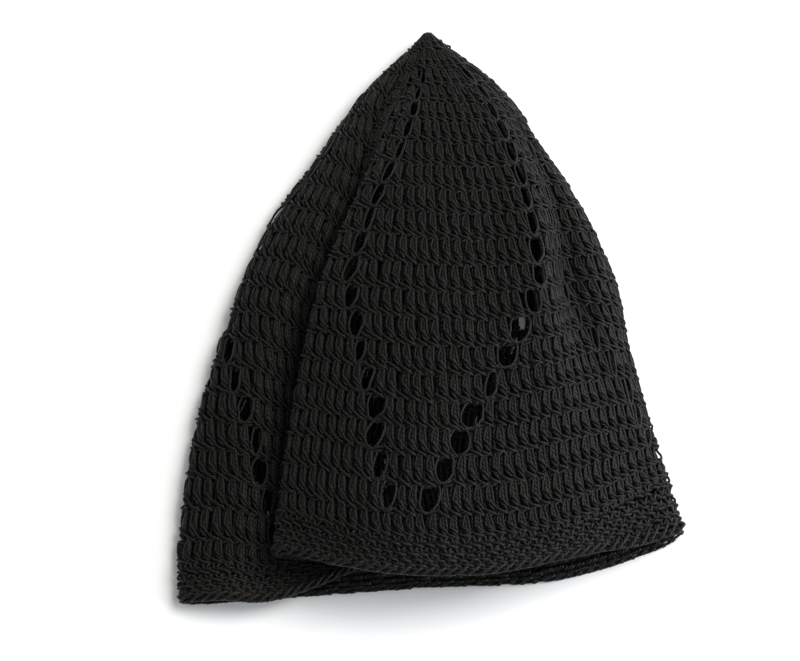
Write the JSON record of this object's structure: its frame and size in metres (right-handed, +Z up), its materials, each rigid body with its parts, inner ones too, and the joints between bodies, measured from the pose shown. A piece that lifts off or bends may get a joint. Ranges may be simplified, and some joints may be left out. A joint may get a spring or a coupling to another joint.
{
  "type": "kufi cap",
  "caption": "Crocheted kufi cap of one pointed cloth with slanting lines of eyelets, a close band and a chained rim, lying on its back with one deep fold.",
  "frame": {"origin": "middle of the bounding box, on the surface that the cap lies on", "axes": "+Y towards the tip of the cap, -Y out of the opening, +X to the right seen from the rim, +Z up off the surface"},
  "size_m": [0.19, 0.23, 0.0396],
  "materials": {
    "crown_yarn": "matt black plied cotton yarn, open crochet",
    "band_yarn": "matt black plied cotton yarn, close crochet",
    "edge_yarn": "matt black plied cotton yarn, chain loops"
  },
  "bodies": {
    "root": {"crown": "crown_yarn", "band": "band_yarn", "edge_round": "edge_yarn"}
  },
  "joints": []
}
